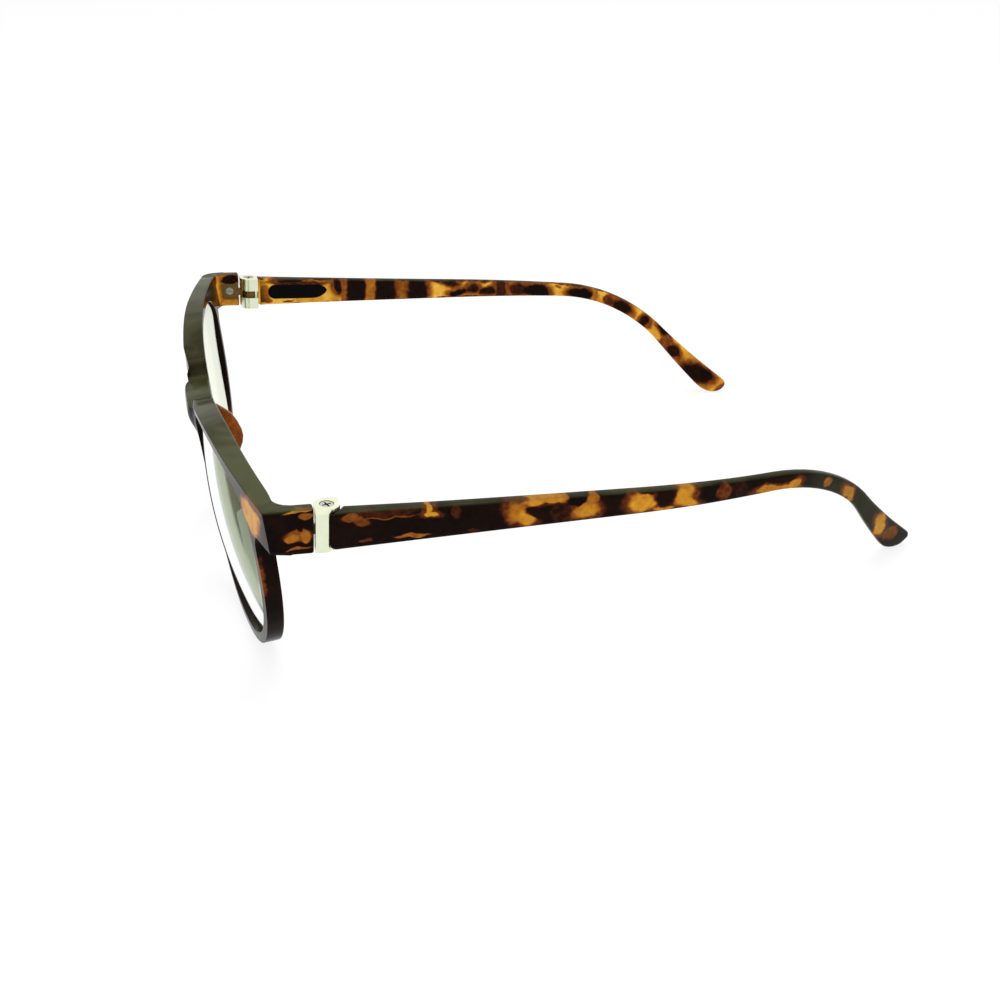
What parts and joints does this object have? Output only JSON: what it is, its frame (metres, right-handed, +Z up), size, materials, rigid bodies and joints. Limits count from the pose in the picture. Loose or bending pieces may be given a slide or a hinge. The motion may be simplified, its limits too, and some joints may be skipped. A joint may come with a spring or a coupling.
{
  "type": "round reading sunglasses",
  "caption": "Round plastic reading sunglasses with tortoiseshell frame, tinted lenses and sprung folding temples.",
  "frame": {"origin": "on the table, under the middle of the open glasses", "axes": "+X to the wearer's left, +Y towards the temple tips, +Z up"},
  "size_m": [0.137, 0.1555, 0.0452],
  "materials": {
    "tortoise": "polished, patterned amber and dark brown",
    "lens": "polished, grey-green tint",
    "cap": "satin, pale",
    "screw": "machined",
    "steel": "machined",
    "black": "moulded"
  },
  "bodies": {
    "front": {"front_frame": "tortoise", "left_lens": "lens", "right_lens": "lens", "left_tongue": "steel", "right_tongue": "steel", "left_tongue_screw": "screw", "right_tongue_screw": "screw"},
    "left_hinge": {"left_hinge_cap": "cap", "left_pivot_screw": "screw", "left_slider_rod": "steel", "left_stop_nut": "steel"},
    "left_arm": {"left_temple": "tortoise", "left_spring_box": "black", "left_spring": "steel"},
    "right_hinge": {"right_hinge_cap": "cap", "right_pivot_screw": "screw", "right_slider_rod": "steel", "right_stop_nut": "steel"},
    "right_arm": {"right_temple": "tortoise", "right_spring_box": "black", "right_spring": "steel"}
  },
  "joints": [
    {"name": "left_fold", "type": "hinge", "parent": "front", "child": "left_hinge", "pos_m": [0.0656, -0.05748, 0.03801], "axis": [0, 0.0767, 0.9971], "range_deg": [0, 84]},
    {"name": "left_spring_slide", "type": "slide", "parent": "left_hinge", "child": "left_arm", "axis": [0, 0.9971, -0.0767], "range_m": [0, 0.0015], "stiffness_N_per_m": 1500, "deforming": ["left_spring"]},
    {"name": "right_fold", "type": "hinge", "parent": "front", "child": "right_hinge", "pos_m": [-0.0656, -0.05748, 0.03801], "axis": [0, -0.0767, -0.9971], "range_deg": [0, 76]},
    {"name": "right_spring_slide", "type": "slide", "parent": "right_hinge", "child": "right_arm", "axis": [0, 0.9971, -0.0767], "range_m": [0, 0.0015], "stiffness_N_per_m": 1500, "deforming": ["right_spring"]}
  ]
}
